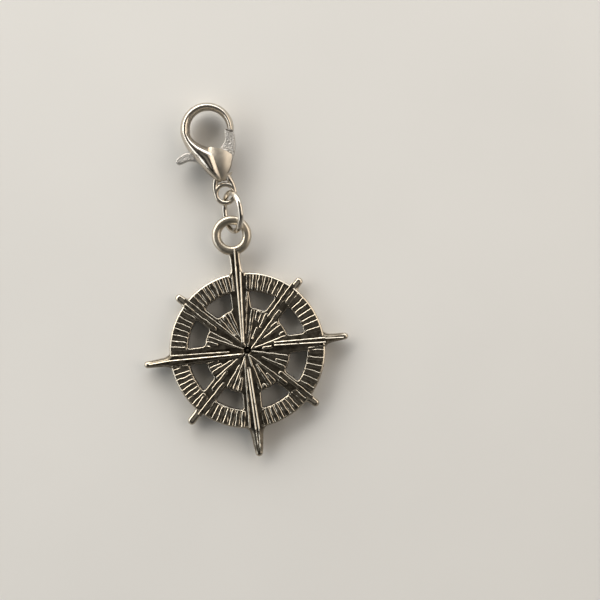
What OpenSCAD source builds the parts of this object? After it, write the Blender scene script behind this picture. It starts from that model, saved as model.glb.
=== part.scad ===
// Ship wheel charm: a cast wheel pendant, a jump ring and a lobster clasp, lying flat on a surface.
// The origin is the centre of the wheel's flat back, which is the plane z = 0, with the loop along +Y.
// A clock angle is in degrees clockwise from the loop, seen from the front. Lengths are millimetres.

/* [Wheel] */
// Outside diameter of the rim
rim_d = 18; // [17:0.5:20]
// Width of the rim between the windows and its outer edge
rim_band = 2.1; // [1.8:0.1:2.4]
// Diameter of the hub at the foot of the windows
hub_d = 9.5; // [9:0.1:10]
// Thickness of the plate under the relief
plate_t = 1.4; // [1.2:0.1:1.6]
// Height of the raised bars and rays above the plate
relief_h = 0.32; // [0.2:0.02:0.4]
// Width of one raised bar on the rim
bar_w = 0.5; // [0.4:0.02:0.54]
// Height of the thin border round the rim above the plate
border_h = 0.15; // [0.1:0.05:0.25]
// Diameter of the dimple in the middle of the hub
dimple_d = 1.1; // [0.9:0.1:1.4]

/* [Spokes] */
// Width of the middle rib of a main spoke at the rim
main_rib_w = 0.74; // [0.6:0.02:0.8]
// Height of the middle rib of a main spoke above the back
main_rib_top = 2; // [1.9:0.05:2.2]
// Width of the two side ribs of a main spoke
side_rib_w = 0.3; // [0.24:0.02:0.32]
// Distance from a main spoke's axis to the middle of its side rib
side_rib_off = 0.64; // [0.6:0.02:0.7]
// Width of a diagonal spoke's flat bar
minor_bar_w = 0.98; // [0.8:0.02:1.1]
// Thickness of a main handle at the rim
handle_root_d = 1.56; // [1.4:0.02:1.6]
// Thickness of a main handle at its tip
handle_tip_d = 0.84; // [0.7:0.02:1]
// Diameter of a diagonal spoke's knob
knob_d = 0.98; // [0.8:0.02:1.1]

/* [Loop] */
// Outside diameter of the loop
loop_d = 4.6; // [4.4:0.1:4.8]
// Thickness of the loop's round section
loop_wire = 1.06; // [0.9:0.02:1.1]
// Distance from the wheel's centre to the loop's centre
loop_y = 13.4; // [13.2:0.1:13.6]
// Height of the loop's middle above the back
loop_z = 1.55; // [1.5:0.05:1.6]
// Width of the stem that carries the loop
stem_w = 1.36; // [1.2:0.02:1.5]

/* [Jump ring] */
// Outside diameter of the jump ring
ring_d = 5.09; // [5:0.01:5.15]
// Thickness of the jump ring's wire
ring_wire = 0.65; // [0.6:0.01:0.66]
// Angle between the jump ring and the surface it lies on
ring_tilt = 63.5; // [62:0.5:64]

/* [Clasp] */
// Outside radius of the hook
hook_r = 3.1; // [3:0.05:3.2]
// Thickness of the clasp's body from front to back
clasp_t = 3; // [2.9:0.05:3]
// Thickness of the lever
lever_t = 1.1; // [0.9:0.05:1.2]
// Gap between the lever and each side of its slot
slot_gap = 0.12; // [0.1:0.01:0.15]
// Diameter of the lever's pin
pin_d = 0.6; // [0.5:0.05:0.7]
// Outside diameter of the clasp's tail ring
tail_d = 2.68; // [2.6:0.02:2.7]
// Thickness of the tail ring's wire
tail_wire = 0.54; // [0.5:0.02:0.56]

/* [Hidden] */
$fn = 48;

// The spokes, clockwise from the loop. The first one carries the stem instead of a handle.
// columns: clock angle, radius of the tip
SPOKES = [
    [0, 0], [44.5, 10.4], [89.5, 11.8], [135.5, 10.4],
    [182, 12.4], [226, 10.9], [270, 12.1], [315, 10.4]];
CLOCK = 0;
TIP = 1;

// The sectors between the spokes, in the same order.
// columns: window's distance from the spoke before it, and from the spoke after it, and bars on the rim
SECTORS = [
    [1.10, 1.05, 7], [0.80, 1.05, 7], [1.00, 0.75, 6], [0.85, 1.05, 8],
    [1.10, 0.72, 7], [1.00, 0.80, 8], [1.10, 0.75, 7], [0.82, 1.10, 8]];
GAP_BEFORE = 0;
GAP_AFTER = 1;
BARS = 2;

// Where the hub's raised rays start, as radii, sector by sector
RAY_STARTS = [
    [0.6, 1.9, 0.6, 2.6], [0.6, 1.6, 2.4, 0.6], [1.8, 0.6, 3.2, 1.6], [0.6, 1.7, 2.6, 0.6],
    [0.6, 2.2, 1.5, 0.6], [2.4, 0.6, 1.7, 3.0], [3.0, 0.6, 2.0, 2.6], [0.6, 2.4, 0.6, 1.8]];

rim_r = rim_d / 2;
rim_in_r = rim_r - rim_band;
hub_r = hub_d / 2;
mid_r = rim_r - rim_band / 2;
border_w = 0.3;
bevel = 0.18;
main_flank = 0.87;
minor_flank = 0.6;
ray_w_in = 0.16;
ray_spread = 0.04;
ray_w_out = 0.4;
ray_overhang = 0.28;
sunk = 0.15;
relief_top = plate_t + relief_h;
minor_top = relief_top + 0.08;
main_rib_from = 0.5;
side_rib_from = 1.7;
minor_bar_from = 3.9;
minor_ray_w = 0.42;
corner = 0.28;
dimple_depth = 0.5;

main_root = [0.55, 0.9];
minor_root = [0.35, 0.5];
root_top = plate_t - 0.08;
handle_inset = 0.5;
handle_z = handle_root_d / 2 + 0.04;
knob_z = knob_d / 2 + 0.3;
stem_bottom = 0.5;
stem_top = loop_z + 0.3;
loop_foot = loop_y - loop_d / 2;

ring_r = (ring_d - ring_wire) / 2;
ring_seam_at = 62;
RING_AT = [0.5, 16.02, 2.315];
ring_turn = 1;
ring_seam = 0.06;

tail_r = (tail_d - tail_wire) / 2;
CLASP_AT = [-0.05, 18.27, clasp_t / 2];
clasp_turn = 3.8;
slot_t = lever_t + 2 * slot_gap;
pin_fit = 0.04;
pin_seat = 0.02;
pin_l = 2;
PIN_AT = [0.3, 3.8];
HOOK_AT = [-0.6, 7.7];
HOOK_FROM = -28;
HOOK_TO = 172;
HOOK_STEPS = 14;
hook_tip_w = 0.74;
hook_arm_w = 1.14;
hook_tip_t = 1.5;
hook_arm_t = 2;

// The limb from the hook down to the tail, in the clasp's own plane with the tail ring at its origin
// columns: x, y, width, thickness
LIMB = [
    [-3.12, 7.35, 1.22, 2.1], [-2.74, 6.3, 1.62, 2.45], [-2.02, 5.25, 2.05, 2.85], [-1.42, 4.25, 2.05, 3.0],
    [-1.0, 3.3, 1.72, 2.8], [-0.66, 2.35, 1.3, 2.2], [-0.42, 1.65, 1, 1.5], [-0.2, 1.05, 0.56, 0.54]];

// The rounded lobe beside the limb: radii along its axis, from the tail end up
// columns: part of the length, radius
LOBE = [
    [0, 0.24], [0.08, 0.56], [0.2, 0.86], [0.38, 1.12], [0.58, 1.3],
    [0.76, 1.34], [0.88, 1.18], [0.96, 0.8], [1, 0.3]];
LOBE_FOOT = [0.06, 1.22];
LOBE_HEAD = [0.86, 5.3];

// The slot that the lever turns in, and the lever's two arms
SLOT = [
    [-5.6, 5.66], [-2.4, 5.66], [-0.9, 5.36], [0.2, 5.6], [1, 6.2], [3.2, 6.2],
    [3.2, 3], [1.3, 2.3], [0.2, 2.1], [-1, 2], [-2.2, 1.6], [-5.6, 1.6]];
GATE = [
    [1.5, 7.32], [2.36, 6.78], [2.3, 5.7], [1.92, 4.3], [0.95, 2.95],
    [-0.5, 3.1], [-0.5, 4.6], [0.5, 5.05], [1.1, 5.9]];
THUMB = [
    [-0.4, 3.05], [-2.9, 4.45], [-3.8, 4.6], [-4.5, 4.36], [-4.78, 4.44], [-4.84, 4.74], [-4.5, 5.1],
    [-3.9, 5.38], [-3.4, 5.42], [-2.5, 5.1], [0.2, 4.7]];
// The slanted end of the hook, where the gate closes: everything below this line is cut away
HOOK_END = [[1.1, 7.75], [2.9, 6.6], [2.9, 5], [1.1, 5]];

// Point at a clock angle and a radius
function on_dial(clock, r) = [r * sin(clock), r * cos(clock)];

// Clock angle of a point that lies at radius r and at a distance off from a spoke's axis
function beside(clock, off, r) = clock + asin(off / r);

// The next spoke's clock angle, counted on past 360
function next_clock(i) = i == len(SPOKES) - 1 ? 360 : SPOKES[i + 1][CLOCK];

function is_main(i) = i % 2 == 0;

// Half the width that a spoke and its ribs take up
function flank(i) = is_main(i) ? main_flank : minor_flank;

// Outline of a bar along +Y with round ends
function bar_outline(from, to, w_from, w_to) = concat(
    [for (a = [0 : 45 : 180]) [w_to / 2 * cos(a), to - w_to / 2 + w_to / 2 * sin(a)]],
    [for (a = [180 : 60 : 360]) [w_from / 2 * cos(a), from + w_from / 2 + w_from / 2 * sin(a)]]);

// A raised bar that runs out from the wheel's centre at a clock angle, shifted sideways by off
module bar(clock, from, to, w_from, w_to, bottom, top, off = 0) {
    rotate([0, 0, -clock]) translate([off, 0, bottom])
        linear_extrude(height = top - bottom) polygon(bar_outline(from, to, w_from, w_to));
}

// Outline of one window: two arcs and two straight flanks that follow the spokes, with cut corners
function window_outline(i) =
    let (
        a = SPOKES[i][CLOCK], b = next_clock(i),
        before = SECTORS[i][GAP_BEFORE], after = SECTORS[i][GAP_AFTER],
        out_a = beside(a, before, rim_in_r), out_b = beside(b, -after, rim_in_r),
        in_a = beside(a, before, hub_r), in_b = beside(b, -after, hub_r),
        cut_out = asin(corner / rim_in_r), cut_in = asin(corner / hub_r))
    concat(
        [on_dial(beside(a, before, hub_r + corner), hub_r + corner)],
        [on_dial(beside(a, before, rim_in_r - corner), rim_in_r - corner)],
        [for (k = [0 : 4]) on_dial(out_a + cut_out + k / 4 * (out_b - out_a - 2 * cut_out), rim_in_r)],
        [on_dial(beside(b, -after, rim_in_r - corner), rim_in_r - corner)],
        [on_dial(beside(b, -after, hub_r + corner), hub_r + corner)],
        [for (k = [4 : -1 : 0]) on_dial(in_a + cut_in + k / 4 * (in_b - in_a - 2 * cut_in), hub_r)]);

// The flat plate with its low rounded border, pierced by the windows
module plate() {
    difference() {
        rotate_extrude() polygon([
            [0, 0], [rim_r - bevel, 0], [rim_r, bevel], [rim_r, plate_t],
            [rim_r - border_w / 3, plate_t + border_h], [rim_r - border_w, plate_t + border_h],
            [rim_r - 1.5 * border_w, plate_t], [0, plate_t]]);
        for (i = [0 : len(SECTORS) - 1])
            translate([0, 0, -1]) linear_extrude(height = plate_t + 2) polygon(window_outline(i));
    }
}

// The raised bars of the rim, evenly spread over each sector
module rim_bars() {
    for (i = [0 : len(SECTORS) - 1]) {
        first = beside(SPOKES[i][CLOCK], flank(i), mid_r);
        last = beside(next_clock(i), -flank(i + 1), mid_r);
        pitch = (last - first) / SECTORS[i][BARS];
        for (k = [0 : SECTORS[i][BARS] - 1])
            bar(first + (k + 0.5) * pitch, rim_in_r + 0.04, rim_r - 1.6 * border_w, 0.9 * bar_w, bar_w,
                plate_t - sunk, relief_top);
    }
}

// The raised rays of the hub, whose round outer ends give its scalloped edge
module hub_rays() {
    for (i = [0 : len(SECTORS) - 1]) {
        starts = RAY_STARTS[i];
        first = beside(SPOKES[i][CLOCK], flank(i), hub_r);
        last = beside(next_clock(i), -flank(i + 1), hub_r);
        pitch = (last - first) / len(starts);
        for (k = [0 : len(starts) - 1])
            bar(first + (k + 0.5) * pitch, starts[k], hub_r + ray_overhang * (1 - 0.2 * (k % 2)),
                ray_w_in + starts[k] * ray_spread, ray_w_out, sunk, relief_top);
    }
}

// The ribs of the four main spokes and the flat bars of the four diagonal ones
module spoke_ribs() {
    for (i = [0 : len(SPOKES) - 1]) {
        clock = SPOKES[i][CLOCK];
        if (is_main(i)) {
            bar(clock, main_rib_from, rim_r + border_w, 0.4 * main_rib_w, main_rib_w,
                plate_t - sunk, main_rib_top);
            for (side = [-1, 1])
                bar(clock, side_rib_from, rim_r - 0.1, 0.7 * side_rib_w, side_rib_w,
                    plate_t - sunk, minor_top, side * side_rib_off);
        } else {
            bar(clock, minor_bar_from, rim_r + 0.2, 0.7 * minor_bar_w, minor_bar_w,
                plate_t - sunk, minor_top);
            bar(clock, main_rib_from, minor_bar_from - 0.2, ray_w_in, minor_ray_w,
                plate_t - sunk, relief_top);
        }
    }
}

// A root of width w where a handle, a knob or the stem leaves the rim
// flare is how much wider it is at the rim on each side, and how long its rounded flank is
module root(clock, w, flare) {
    foot = rim_r - 0.08;
    side = [for (a = [90 : -30 : 0]) [w / 2 + flare[0] * (1 - cos(a)), foot + flare[1] * (1 - sin(a))]];
    rotate([0, 0, -clock]) translate([0, 0, sunk]) linear_extrude(height = root_top - sunk)
        polygon(concat(
            [[w / 2 + flare[0], foot - handle_inset]], side,
            [for (k = [len(side) - 1 : -1 : 0]) [-side[k].x, side[k].y]],
            [[-w / 2 - flare[0], foot - handle_inset]]));
}

// The tapered handles of the main spokes and the short knobs of the diagonal ones
module handles() {
    for (i = [1 : len(SPOKES) - 1]) {
        main = is_main(i);
        root_r = (main ? handle_root_d : knob_d) / 2;
        tip_r = (main ? handle_tip_d : knob_d) / 2;
        reach = SPOKES[i][TIP] - tip_r;
        root(SPOKES[i][CLOCK], 1.9 * root_r, main ? main_root : minor_root);
        rotate([0, 0, -SPOKES[i][CLOCK]]) translate([0, 0, main ? handle_z : knob_z]) {
            translate([0, rim_r - handle_inset, 0]) rotate([-90, 0, 0])
                cylinder(h = reach - rim_r + handle_inset, r1 = root_r, r2 = tip_r);
            translate([0, reach, 0]) sphere(r = tip_r);
        }
    }
}

// The stem and the round loop at its end
module loop() {
    root(0, stem_w, main_root);
    bar(0, rim_r - handle_inset, loop_foot + 0.8 * loop_wire, stem_w, 0.85 * stem_w, stem_bottom, stem_top);
    bar(0, rim_r, loop_foot + 0.7 * loop_wire, main_rib_w, 0.6 * main_rib_w,
        plate_t - sunk, main_rib_top + 0.02);
    translate([0, loop_y, loop_z])
        rotate_extrude() translate([(loop_d - loop_wire) / 2, 0]) circle(r = loop_wire / 2);
}

module wheel() {
    color([0.42, 0.40, 0.36])
        difference() {
            union() {
                plate();
                rim_bars();
                hub_rays();
                spoke_ribs();
                handles();
                loop();
            }
            translate([0, 0, plate_t - dimple_depth])
                cylinder(h = 4 * dimple_depth, r1 = 0.1 * dimple_d, r2 = dimple_d);
        }
}

// The open wire ring, closed but for its thin seam, which leans through the loop and the tail ring
module jump_ring() {
    color([0.72, 0.70, 0.66])
        translate(RING_AT) rotate([0, 0, ring_turn]) rotate([0, -ring_tilt, 0])
            difference() {
                rotate_extrude() translate([ring_r, 0]) circle(r = ring_wire / 2);
                rotate([0, 0, -ring_seam_at]) translate([ring_r, 0, 0])
                    cube([2 * ring_wire, ring_seam, 2 * ring_wire], center = true);
            }
}

// Places what is drawn in the clasp's own plane
module in_clasp() {
    translate(CLASP_AT) rotate([0, 0, clasp_turn]) children();
}

// The hook's stations, worked out along its arc, and then those of the limb
function clasp_stations() = concat(
    [for (k = [0 : HOOK_STEPS])
        let (
            t = k / HOOK_STEPS, a = HOOK_FROM + t * (HOOK_TO - HOOK_FROM),
            w = hook_tip_w + t * (hook_arm_w - hook_tip_w), r = hook_r - w / 2)
        [HOOK_AT.x + r * cos(a), HOOK_AT.y + r * sin(a), w, hook_tip_t + t * (hook_arm_t - hook_tip_t)]],
    LIMB);

// A closed tube of oval section along a row of stations [x, y, width, thickness]
module swept(stations, sides) {
    n = len(stations);
    points = [for (k = [0 : n - 1])
        let (
            here = stations[k], before = stations[max(k - 1, 0)], after = stations[min(k + 1, n - 1)],
            way = [after.x - before.x, after.y - before.y], across = [way.y, -way.x] / norm(way))
        for (j = [0 : sides - 1])
            let (a = 360 * j / sides, u = here[2] / 2 * cos(a), v = here[3] / 2 * sin(a))
            [here.x + across.x * u, here.y + across.y * u, v]];
    skin = [for (k = [0 : n - 2]) for (j = [0 : sides - 1])
        let (j2 = (j + 1) % sides)
        [k * sides + j, k * sides + j2, (k + 1) * sides + j2, (k + 1) * sides + j]];
    ends = [[for (j = [sides - 1 : -1 : 0]) j], [for (j = [0 : sides - 1]) (n - 1) * sides + j]];
    polyhedron(points = points, faces = concat(skin, ends));
}

// The rounded lobe beside the limb, turned about its own axis
module lobe() {
    way = LOBE_HEAD - LOBE_FOOT;
    translate([LOBE_FOOT.x, LOBE_FOOT.y, 0]) rotate([0, 0, -atan2(way.x, way.y)]) rotate([-90, 0, 0])
        rotate_extrude() polygon(concat(
            [[0, 0]], [for (row = LOBE) [row[1], row[0] * norm(way)]], [[0, norm(way)]]));
}

module clasp_body() {
    color([0.78, 0.75, 0.70])
        in_clasp() {
            difference() {
                union() {
                    swept(clasp_stations(), 14);
                    lobe();
                }
                linear_extrude(height = slot_t, center = true) polygon(SLOT);
                linear_extrude(height = 2 * clasp_t, center = true) polygon(HOOK_END);
                translate([PIN_AT.x, PIN_AT.y, 0])
                    cylinder(h = pin_l + 2 * pin_seat, r = pin_d / 2 + pin_seat, center = true);
            }
            rotate_extrude() translate([tail_r, 0]) circle(r = tail_wire / 2);
        }
}

// The gate and the thumb piece in one flat lever, drilled for its pin
module clasp_lever() {
    color([0.74, 0.73, 0.71])
        in_clasp()
            difference() {
                linear_extrude(height = lever_t, center = true)
                    union() {
                        polygon(GATE);
                        polygon(THUMB);
                    }
                translate([PIN_AT.x, PIN_AT.y, 0])
                    cylinder(h = 2 * lever_t, r = pin_d / 2 + pin_fit, center = true);
            }
}

// The plain pin that the lever turns on, hidden inside the body
module clasp_pin() {
    color([0.6, 0.6, 0.6])
        in_clasp() translate([PIN_AT.x, PIN_AT.y, 0]) cylinder(h = pin_l, r = pin_d / 2, center = true);
}

wheel();
jump_ring();
clasp_body();
clasp_lever();
clasp_pin();
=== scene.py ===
# Looks of the ship wheel charm: a cast wheel pendant, a jump ring and a lobster clasp on a pale floor.
import math

import bmesh
import bpy
import numpy as np
from bpy.props import FloatProperty, FloatVectorProperty, PointerProperty
from mathutils import Matrix, Vector
from mathutils.geometry import tessellate_polygon


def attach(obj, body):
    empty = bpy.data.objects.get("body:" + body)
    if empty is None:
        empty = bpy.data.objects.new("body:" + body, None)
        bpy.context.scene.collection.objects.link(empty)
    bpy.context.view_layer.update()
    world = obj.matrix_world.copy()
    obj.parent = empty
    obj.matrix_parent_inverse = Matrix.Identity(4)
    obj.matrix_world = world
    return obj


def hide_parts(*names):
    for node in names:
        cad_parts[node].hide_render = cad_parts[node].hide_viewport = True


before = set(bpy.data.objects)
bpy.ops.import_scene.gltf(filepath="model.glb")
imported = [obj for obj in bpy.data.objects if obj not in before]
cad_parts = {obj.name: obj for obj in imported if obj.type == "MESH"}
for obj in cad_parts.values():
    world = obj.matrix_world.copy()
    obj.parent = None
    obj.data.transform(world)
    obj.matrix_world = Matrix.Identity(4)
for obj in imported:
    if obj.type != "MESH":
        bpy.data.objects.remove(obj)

bl_info = {
    "name": "Ship wheel charm",
    "version": (1, 0, 0),
    "blender": (4, 5, 0),
    "location": "3D View > Sidebar > Charm",
    "description": "Builds a cast ship wheel charm with its jump ring and lobster clasp",
    "category": "Add Mesh",
}

MM = 0.001

# Clock angles are degrees clockwise from the loop, seen from in front. Functions count in millimetres.
SPOKES = np.array([0, 44.5, 89.5, 135.5, 182, 226, 270, 315])
NEXT_SPOKES = np.append(SPOKES[1:], 360)

# The long handles on the straight spokes: clock angle, radius of the tip, width as a share of the height
LONG_HANDLES = [(89.5, 11.797, 0.84), (181.2, 12.385, 1.12), (269.4, 12.097, 0.84)]
# The short handles on the diagonal spokes: clock angle, radius of the tip
SHORT_HANDLES = [(44.5, 10.4), (135.5, 10.4), (226, 10.9), (315, 10.4)]
# The long handles' tops are painted dark by the share dark: painted shade standing for the dark reflection
# from overhead
LONG_SHAPE = dict(start=8.5, root_d=1.56, tip_d=0.84, z=0.82, flare=(0.55, 0.9), dark=0.85)
SHORT_SHAPE = dict(start=8.5, root_d=0.98, tip_d=0.9, z=0.79, flare=(0.35, 0.5), square=0.72)

# The radius where the handles and the stem leave the rim
LEAVES_RIM = 8.92

# The sectors between the spokes: window's distances from the spokes before and after it, bars on the rim
SECTORS = [
    (1.1, 1.05, 7), (0.8, 1.05, 7), (1.0, 0.75, 6), (0.85, 1.05, 8),
    (1.1, 0.72, 7), (1.0, 0.8, 8), (1.1, 0.75, 7), (0.82, 1.1, 8)]
WINDOW_CORNER = 0.28
PIT_RADIUS = 0.46

# Half the width that the rim's bars leave free for a straight and for a diagonal spoke
STRAIGHT_GAP = 0.87
DIAGONAL_GAP = 0.6

# The hub's raised rays: clock angle, radius where the ray starts
RAYS = [
    (15.5, 0.45), (24, 3.6), (30.5, 3.4), (36.5, 3.0),
    (55, 3.1), (61.5, 1.8), (71.5, 4.1), (78.5, 0.45),
    (106.7, 0.45), (115.2, 3.4), (122.7, 1.8),
    (147.2, 3.4), (154.2, 1.85), (161.7, 4.2), (168.7, 0.45),
    (198.9, 3.1), (205.9, 0.45), (214.9, 1.85),
    (234.9, 0.45), (243.9, 1.95), (250.5, 3.3), (257.9, 3.45),
    (281.9, 4.2), (288.4, 3.4), (295.4, 0.45), (302.9, 1.85),
    (325.4, 2.2), (333.4, 2.0), (342.9, 0.45)]

# The main spokes' ribs, each a band painted dark as shade between bright ridges, and their ends on the stem
# and the handles.
# A bar's line passes the wheel's centre at the offset, to the right of its direction.
# columns: clock angle, offset, start, end, width at the start and at the end, fall to the end, and the sides
# with a ridge: -1 left, 1 right
MAIN_RIBS = [
    (4.0, -0.434, 0.9, 9.1, 0.34, 0.66, 0, (-1, 1)), (93.5, -0.548, 3.1, 9.1, 0.5, 0.68, 0, (-1, 1)),
    (179.3, 0.149, 1.9, 9.1, 0.42, 0.56, 0, (-1, 1)), (271.0, -0.41, 0.6, 9.1, 0.3, 0.68, 0, (1,))]
RIB_ENDS = [
    (2.3, -0.19, 8.7, 11.8, 0.6, 0.5, -0.2, (-1,)), (91.5, -0.2, 8.8, 11.2, 0.6, 0.3, 0.6, (-1,)),
    (182.7, -0.397, 8.7, 11.7, 0.54, 0.36, 0.66, (-1, 1)), (270.6, -0.3, 8.8, 11.5, 0.6, 0.3, 0.66, (1,))]

# The narrow rails beside the ribs: clock angle, offset, start, end
RAILS = [
    (10.0, -0.29, 1.9, 6.8), (0, -0.6, 6.95, 8.9), (89.5, 0.72, 6.95, 8.9), (183.5, 0.36, 0.95, 8.9),
    (273.7, -0.05, 2.05, 8.9), (270, -0.78, 6.95, 8.9)]

# The pairs of flat bars on the diagonal spokes: clock angle, offset, start, end
DIAGONAL_BARS = [
    (44.5, -0.29, 4.4, 9.3), (44.5, 0.29, 0.45, 6.0), (44.5, 0.42, 7.0, 8.7),
    (135.5, -0.29, 4.4, 9.3), (135.5, 0.29, 0.45, 6.0), (135.5, 0.42, 7.0, 8.7),
    (226, -0.29, 4.5, 9.3), (226, 0.29, 3.3, 6.1), (226, 0.42, 7.0, 8.7),
    (315, 0.29, 0.45, 9.3), (315, -0.29, 4.3, 8.9)]

# Heights of the tops of the ribs and of their ends
RIB_TOPS = (2.0, 1.98)

# The two short bars between the hub's rays: clock angle, start, end, width at the start and at the end
HUB_BARS = [(31, 1.4, 2.95, 0.2, 0.26), (89.5, 1.75, 3.0, 0.3, 0.36)]

# The raised bars: the slope of their edges, the height of their foot, and the length of a step along them
BAR_SLOPE = 0.62
BAR_FOOT = 1.4
BAR_STEP = 0.22

# The first seeds of the groups' random unevenness. Each bar takes the next one, and each rib the third next,
# with those beside it for its ridges.
FIRST_SEEDS = {"rim": 1, "ray": 59, "hub": 1, "rib": 90, "rail": 112, "diagonal": 118}

# The clasp's limb from the hook down to the tail, in the clasp's plane with its tail ring at the origin
# columns: outer edge's x and y, inner edge's x and y, thickness, lean towards the outer edge
LIMB = np.array([
    [-3.7, 7.7, -2.6, 7.45, 2.05, 0.0], [-3.56, 6.75, -2.3, 6.76, 2.3, 0.02],
    [-3.28, 5.85, -1.62, 6.12, 2.6, 0.08], [-2.93, 5.05, -0.8, 5.6, 2.86, 0.16],
    [-2.48, 4.2, 0.12, 4.9, 2.96, 0.22], [-2.02, 3.42, 0.3, 3.95, 2.94, 0.24],
    [-1.56, 2.72, 0.28, 3.0, 2.7, 0.22], [-1.14, 2.12, 0.2, 2.2, 2.1, 0.15],
    [-0.85, 1.7, 0.05, 1.7, 1.4, 0.05], [-0.6, 1.42, -0.2, 1.42, 0.7, 0.0]])

# The leaf-shaped lobe over the limb's inner edge, from its tip up, with the same columns
LOBE = np.array([
    [0.02, 1.45, 0.42, 1.47, 0.5, 0], [-0.3, 1.8, 0.98, 1.92, 1.25, 0.2], [-0.5, 2.45, 1.48, 2.52, 1.9, 0.4],
    [-0.62, 3.1, 1.84, 3.12, 2.3, 0.54], [-0.72, 3.85, 2.1, 3.82, 2.5, 0.6],
    [-0.85, 4.6, 2.24, 4.5, 2.5, 0.6], [-0.9, 5.2, 2.26, 5.1, 2.4, 0.58], [-0.85, 5.5, 2.2, 5.6, 2.3, 0.56]])

# The two horns that hold the tail ring: x, y, width, thickness
HORNS = [
    [(-1.07, 0, 0.5, 0.5), (-1.1, 0.5, 0.54, 0.54), (-1.02, 1.1, 0.62, 0.66), (-0.8, 1.75, 0.7, 0.9),
     (-0.6, 2.3, 0.6, 1.0)],
    [(1.07, 0, 0.5, 0.5), (1.08, 0.5, 0.54, 0.54), (0.96, 1.1, 0.62, 0.66), (0.74, 1.7, 0.7, 0.9),
     (0.6, 2.3, 0.6, 1.0)]]

# Outlines in the clasp's plane, as x and y: the lever's slot, the lever, and the two blocks that cut the
# slanted ends of the hook and of the lobe
SLOT = [
    (-5.6, 5.66), (-2.4, 5.66), (-0.9, 5.36), (0.2, 5.6), (1, 6.2), (3.2, 6.2),
    (3.2, 3), (1.3, 2.3), (0.2, 2.1), (-1, 2), (-2.2, 1.6), (-5.6, 1.6)]
LEVER = [
    (1.42, 7.24), (1.9, 7.06), (2.34, 6.8), (2.3, 5.7), (1.92, 4.3), (0.95, 3.0), (-0.4, 3.1), (-1.6, 3.75),
    (-2.9, 4.4), (-3.6, 4.5), (-4.3, 4.34), (-4.66, 4.36), (-4.84, 4.56), (-4.8, 4.86), (-4.4, 5.14),
    (-3.9, 5.36), (-3.4, 5.44), (-2.9, 5.3), (-2.3, 5.05), (-0.3, 4.8), (0.42, 5), (0.55, 5.3), (1.15, 5.98)]
HOOK_END = [(1.1, 7.77), (2.9, 6.62), (2.9, 5), (1.1, 5)]
LOBE_END = [
    (-0.75, 5.6), (-0.1, 5.3), (0.5, 5.1), (0.98, 4.84), (1.78, 4.12), (3, 3.4), (3, 6.4), (-0.7, 6.2)]

# The crease between limb and lobe, from the tail up: x, y
CREASE = np.array([[0.0, 1.6], [-0.16, 2.29], [-0.14, 3.25], [-0.15, 4.09], [-0.54, 5.13], [-0.81, 5.55]])

# The pin's place in the clasp's plane, the radius of its hole, and the middle of the hook
PIN_AT = (0.3, 3.8)
PIN_HOLE_RADIUS = 0.34
HOOK_AT = np.array([-0.6, 7.7])

# The radius of the lever's rounded edges
LEVER_EDGE = 0.13

# The narrowest sliver kept in a solid
SLIVER = 0.003

# The way that the lever's end faces, and how far along it the end's painted shadow begins: a dark edge
# painted for the shadow in the gap to the hook
TIP_WAY = (0.431, 0.902)
TIP_REACH = 7.05

# Places on the charm: the clasp's tail ring with the clasp's turn, the jump ring and the loop
CLASP_AT = (-0.05, 18.27, 1.5)
CLASP_TURN = 3.8
RING_AT = (0.5, 16.02, 2.315)
LOOP_AT = (0, 13.4, 1.55)

# The loop's satin finish begins this far up from the wheel's centre and is full after the fade
SATIN_FROM = 11.0
SATIN_FADE = 0.3

# The clock angle that is upwards in the picture, and the point at the picture's middle
PICTURE_UP = 7.78
PICTURE_MIDDLE = (6.815, 4.947, 1.0)

# The soft lamps round the wheel's centre; distances and sizes are metres
# columns: name, clock angle, elevation, width, height, power, colour
LAMP_DISTANCE = 0.55
LAMPS = [
    ("softbox_northwest", 322.8, 24, 0.7, 0.28, 2.5, (1.0, 0.95, 0.87)),
    ("softbox_north", 15.8, 20, 0.7, 0.22, 1.5, (0.93, 0.96, 1.0)),
    ("softbox_east", 81.8, 31, 0.55, 0.42, 1.3, (1.0, 0.9, 0.79)),
    ("softbox_west", 269.8, 22, 0.45, 0.25, 0.8, (0.9, 0.95, 1.0))]

# The clock angle and elevation of the room's window
WINDOW_WAY = (347.8, 14)
# The ceiling's brightness, from the horizon up to straight above: sine of the elevation, brightness
CEILING = [(0.0, 1.0), (0.6, 1.0), (0.74, 0.12), (0.95, 0.12), (1.0, 2.2)]

# Half the square floor's side in metres, and the number of points along a side
FLOOR_HALF = 2
FLOOR_POINTS = 13

# The metals: their noises in features a metre, the roughness that the tarnish and painted shade add, the
# colour of the lever's end painted dark as the shadow in its gap, and the angle in degrees over which an
# edge is creased
CLOUD_SCALE = 420
GLOSS_SCALE = 2600
BLOTCH_SCALE = 1800
TARNISH_AND_SHADE_ROUGHNESS = 0.12
LEVER_END_SHADOW = (0.04, 0.03, 0.02)
SHARP_ANGLE = 38


# Surfaces

def on_dial(clock, r, z=0.0):
    """Points at clock angles in degrees and radii: x = r sin(clock), y = r cos(clock)."""
    clock, r, z = np.broadcast_arrays(np.radians(clock), np.asarray(r, float), z)
    return np.stack([r * np.sin(clock), r * np.cos(clock), z], axis=-1)


def direction(clock, elevation):
    """Unit vector to a clock angle and an elevation: the dial's point at the elevation's cosine, raised by
    its sine."""
    level = math.radians(elevation)
    return on_dial(clock, math.cos(level), math.sin(level))


def outward(points, faces, tarnish_and_shade=0.0):
    """Closed shell with its faces outwards: the fan triangles' corner determinants add up to six times the
    volume, and where that is negative every face is turned."""
    volume = sum(np.sum(points[f[:, :1]] * np.cross(points[f[:, 1:-1]], points[f[:, 2:]])) for f in faces)
    if volume < 0:
        faces = [f[:, ::-1] for f in faces]
    return points, faces, np.broadcast_to(tarnish_and_shade, len(points))


def quads_between(here, there):
    """Quads from each ring of point numbers to the next one, corner by corner."""
    return np.stack([here, np.roll(here, -1, 1), np.roll(there, -1, 1), there], axis=-1).reshape(-1, 4)


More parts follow.
